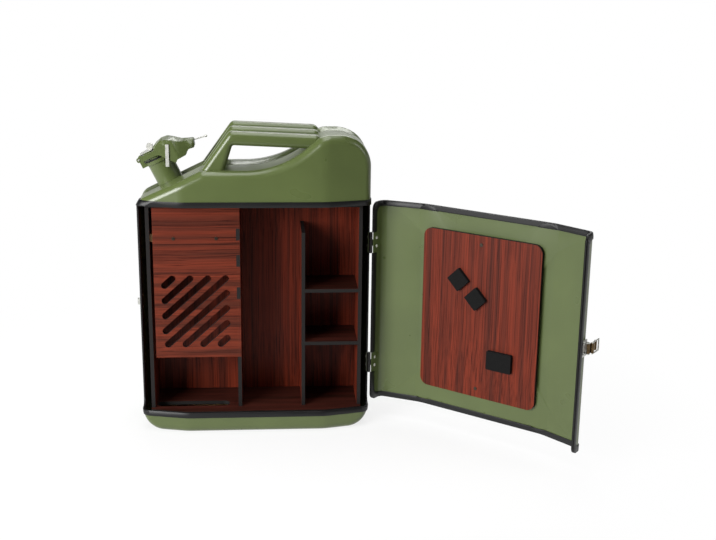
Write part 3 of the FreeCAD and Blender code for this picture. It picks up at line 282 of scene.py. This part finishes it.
bump = add(tree, "ShaderNodeBump", {"Strength": 0.3, "Distance": skin_height}, {
    "Height": skin.outputs["Fac"]})
haze = add(tree, "ShaderNodeMapRange", {"To Min": 0.38, "To Max": 0.5}, {
    "Value": bloom.outputs["Fac"]})
shader = add(tree, "ShaderNodeBsdfPrincipled", {"IOR": 1.5, "Specular IOR Level": 0.35}, {
    "Base Color": tone.outputs["Color"], "Roughness": haze.outputs[0],
    "Normal": bump.outputs["Normal"]})
tree.links.new(shader.outputs[0], output.inputs["Surface"])
for node in ("body_edge_trim", "door_edge_trim"):
    pressed_copy(node, rubber, rubber_crease)
pressed_copy("cap_gasket", rubber)


# ---- Board lining -----------------------------------------------------------------------------
# Thin fibreboards faced with a rosewood look laminate; the cut edges are left dark. The grain
# runs upright on the walls, and along the width on the slotted panel, the floor and the shelves.
# The floor, ceiling and shelves are coloured darker than the walls, as painted shade in the bays.
def rosewood(name, figure, dark, light):
    """Printed rosewood laminate: red brown with long dark streaks along the grain, satin.

    The figure is its size in mm along X, Y and Z. Broad bands are nearly twice as wide as the
    figure and fine streaks under a third as wide. The whole bends over the sway's length.
    """
    bands_per_figure, streaks_per_figure = 0.55, 3.4
    sway_length, sway = 250 * mm, 1.6
    pore_depth = 0.1 * mm
    material, tree, output = blank_material(name)
    place = add(tree, "ShaderNodeTexCoord").outputs["Object"]
    grain = add(tree, "ShaderNodeMapping", {
        "Scale": [1 / (side * mm) for side in figure]}, {"Vector": place})
    warp = add(tree, "ShaderNodeTexNoise", {"Scale": 1 / sway_length, "Detail": 2}, {"Vector": place})
    bent = add(tree, "ShaderNodeVectorMath", {"operation": "MULTIPLY_ADD", 1: (sway, sway, sway)}, {
        0: warp.outputs["Color"], 2: grain.outputs["Vector"]})
    bands = add(tree, "ShaderNodeTexNoise", {
        "Scale": bands_per_figure, "Detail": 2, "Roughness": 0.5}, {
        "Vector": bent.outputs["Vector"]})
    streaks = add(tree, "ShaderNodeTexNoise", {
        "Scale": streaks_per_figure, "Detail": 5, "Roughness": 0.62}, {
        "Vector": bent.outputs["Vector"]})
    base = add(tree, "ShaderNodeValToRGB", {}, {"Fac": bands.outputs["Fac"]})
    base.color_ramp.elements[0].position = 0.36
    base.color_ramp.elements[0].color = linear(dark)
    base.color_ramp.elements[1].position = 0.6
    base.color_ramp.elements[1].color = linear(light)
    veins = add(tree, "ShaderNodeValToRGB", {}, {"Fac": streaks.outputs["Fac"]})
    veins.color_ramp.elements[0].position = 0.36
    veins.color_ramp.elements[0].color = linear("9a8f8a")
    veins.color_ramp.elements[1].position = 0.52
    veins.color_ramp.elements[1].color = (1, 1, 1, 1)
    face = add(tree, "ShaderNodeMix", {"data_type": "RGBA", "blend_type": "MULTIPLY", 0: 1.0}, {
        6: base.outputs["Color"], 7: veins.outputs["Color"]})
    pores = add(tree, "ShaderNodeBump", {"Strength": 0.15, "Distance": pore_depth}, {
        "Height": streaks.outputs["Fac"]})
    shader = add(tree, "ShaderNodeBsdfPrincipled", {
        "IOR": 1.45, "Roughness": 0.45, "Specular IOR Level": 0.15}, {
        "Base Color": face.outputs[2], "Normal": pores.outputs["Normal"]})
    tree.links.new(shader.outputs[0], output.inputs["Surface"])
    return material


upright_grain = rosewood("rosewood_laminate_upright", (4.35, 4.35, 286), "4e1f14", "6e2a19")
level_grain = rosewood("rosewood_laminate_level", (286, 4.35, 4.35), "4c2217", "6a2c1c")
# The laminate on the floor, ceiling and shelves is darker than the walls' laminate: painted shade
# inside the bays.
shaded_shelf_grain = rosewood("rosewood_laminate_shelf_painted_shade", (333, 5.88, 5.88), "2e1710", "46211a")

# Fibreboard sawn and left dark: matt, with a fine grain. Its fibres are too fine to show and are
# drawn at about 1.4 mm, so that the edge isn't one flat tone.
edge_fibre = 1.43 * mm
dark_edge, tree, output = blank_material("dark_board_edge")
place = add(tree, "ShaderNodeTexCoord").outputs["Object"]
fibre = add(tree, "ShaderNodeTexNoise", {"Scale": 1 / edge_fibre, "Detail": 3}, {"Vector": place})
tone = add(tree, "ShaderNodeValToRGB", {}, {"Fac": fibre.outputs["Fac"]})
tone.color_ramp.elements[0].color = linear("090706")
tone.color_ramp.elements[1].color = linear("181412")
shader = add(tree, "ShaderNodeBsdfPrincipled", {"Roughness": 0.75, "Specular IOR Level": 0.3}, {
    "Base Color": tone.outputs["Color"]})
tree.links.new(shader.outputs[0], output.inputs["Surface"])


# A face turned less than about 26 degrees from the board's thin direction is laminated.
flat_angle = math.radians(1)
face_on = 0.9


def board_copy(node, thin, veneer):
    """A board with its laminated faces square to thin and its cut edges left dark."""
    bm = bmesh.new()
    bm.from_mesh(frame["nodes"][node].data)
    bmesh.ops.remove_doubles(bm, verts=bm.verts, dist=merge_distance)
    bmesh.ops.dissolve_limit(bm, angle_limit=flat_angle, verts=bm.verts, edges=bm.edges)
    for face in bm.faces:
        face.material_index = 0 if abs(face.normal.dot(thin)) > face_on else 1
    mesh = bpy.data.meshes.new(node + "_faced")
    bm.to_mesh(mesh)
    bm.free()
    mesh.materials.append(veneer)
    mesh.materials.append(dark_edge)
    piece = bpy.data.objects.new(node + "_faced", mesh)
    stand_in(piece, node)


# The door stands open at rest, and its hinge's lower limit is the turn that shuts it.
for joint in frame["record"]["behaviour"]["joints"]:
    if joint["name"] == "door_hinge":
        door_swing = math.radians(-joint["range_deg"][0])
for node in ("left_side_panel", "right_side_panel", "left_divider", "right_divider"):
    board_copy(node, Vector((1, 0, 0)), upright_grain)
board_copy("back_panel", Vector((0, 1, 0)), upright_grain)
board_copy("slotted_panel", Vector((0, 1, 0)), level_grain)
# These boards take the darker laminate, which paints the shade inside the bays.
for node in ("floor_panel", "ceiling_panel", "upper_shelf", "lower_shelf"):
    board_copy(node, Vector((0, 0, 1)), shaded_shelf_grain)
board_copy("door_board", Vector((math.sin(door_swing), -math.cos(door_swing), 0)), upright_grain)

# Sawn pine without a finish, pale and matt, with growth rings along its length.
pine_figure = (167, 11.1, 11.1)
rings_per_figure = 3
raw_pine, tree, output = blank_material("raw_pine")
place = add(tree, "ShaderNodeTexCoord").outputs["Object"]
grain = add(tree, "ShaderNodeMapping", {
    "Scale": [1 / (side * mm) for side in pine_figure]}, {"Vector": place})
rings = add(tree, "ShaderNodeTexNoise", {"Scale": rings_per_figure, "Detail": 4}, {
    "Vector": grain.outputs["Vector"]})
tone = add(tree, "ShaderNodeValToRGB", {}, {"Fac": rings.outputs["Fac"]})
tone.color_ramp.elements[0].color = linear("8d6a43")
tone.color_ramp.elements[1].color = linear("c39b6b")
shader = add(tree, "ShaderNodeBsdfPrincipled", {"Roughness": 0.7}, {
    "Base Color": tone.outputs["Color"]})
tree.links.new(shader.outputs[0], output.inputs["Surface"])
for node in ("floor_runners", "panel_batten"):
    frame["nodes"][node].data.materials.clear()
    frame["nodes"][node].data.materials.append(raw_pine)


# ---- Foam pads --------------------------------------------------------------------------------
# Three self-adhesive pads cut from black closed-cell foam and stuck on the door board. The cells
# are too fine to show singly at 0.7 mm, and make the pads matt and a little uneven.
foam_cell, cell_depth = 0.714 * mm, 0.3 * mm
foam, tree, output = blank_material("black_closed_cell_foam")
place = add(tree, "ShaderNodeTexCoord").outputs["Object"]
cells = add(tree, "ShaderNodeTexVoronoi", {"Scale": 1 / foam_cell}, {"Vector": place})
tone = add(tree, "ShaderNodeValToRGB", {}, {"Fac": cells.outputs["Distance"]})
tone.color_ramp.elements[0].color = linear("050505")
tone.color_ramp.elements[1].color = linear("121212")
bump = add(tree, "ShaderNodeBump", {"Strength": 0.5, "Distance": cell_depth}, {
    "Height": cells.outputs["Distance"]})
shader = add(tree, "ShaderNodeBsdfPrincipled", {"Roughness": 0.9, "Specular IOR Level": 0.2}, {
    "Base Color": tone.outputs["Color"], "Normal": bump.outputs["Normal"]})
tree.links.new(shader.outputs[0], output.inputs["Surface"])
for node in ("upper_square_pad", "lower_square_pad", "long_pad"):
    pressed_copy(node, foam)


# ---- Hinges, latch, screws and rivets --------------------------------------------------------
# Small pressed steel butt hinges sprayed black, zinc plated rivets and closure fittings, whose pale
# half-diffuse zinc is partly a painted highlight, aged bronze screws in the boards, and a draw
# latch with a bronze plated lever.
def plated(name, dark, light, rough, metallic):
    """A thin plated or sprayed finish on small steel parts, a little uneven in tone and shine."""
    wear_patch = 3.85 * mm
    wear_haze = 0.15
    material, tree, output = blank_material(name)
    place = add(tree, "ShaderNodeTexCoord").outputs["Object"]
    wear = add(tree, "ShaderNodeTexNoise", {"Scale": 1 / wear_patch, "Detail": 4}, {"Vector": place})
    tone = add(tree, "ShaderNodeValToRGB", {}, {"Fac": wear.outputs["Fac"]})
    tone.color_ramp.elements[0].color = linear(dark)
    tone.color_ramp.elements[1].color = linear(light)
    haze = add(tree, "ShaderNodeMapRange", {"To Min": rough, "To Max": rough + wear_haze}, {
        "Value": wear.outputs["Fac"]})
    shader = add(tree, "ShaderNodeBsdfPrincipled", {"Metallic": metallic}, {
        "Base Color": tone.outputs["Color"], "Roughness": haze.outputs[0]})
    tree.links.new(shader.outputs[0], output.inputs["Surface"])
    return material


# The zinc is pale and only half metallic. Its tone is partly the plating's own grey and partly a
# painted highlight.
zinc_with_painted_highlight = plated("zinc_plated_steel_painted_highlight", "b4b4ae", "dcdcd6", rough=0.34, metallic=0.55)
bronze = plated("bronze_plated_steel", "3a2c1a", "8a7350", rough=0.28, metallic=0.8)
aged_bronze = plated("aged_bronze_screws", "15100a", "3a2e1e", rough=0.4, metallic=0.5)
black_spray = plated("black_sprayed_steel", "0c0c0c", "1e1e1e", rough=0.35, metallic=0.0)
finishes = {"bright_steel": zinc_with_painted_highlight, "bronze_steel": bronze, "black_metal": black_spray}
for row in frame["record"]["subparts"]:
    if row["node"] in ("panel_screws", "door_board_screws"):
        pressed_copy(row["node"], aged_bronze)
    elif row["material_slot"] in finishes:
        pressed_copy(row["node"], finishes[row["material_slot"]])
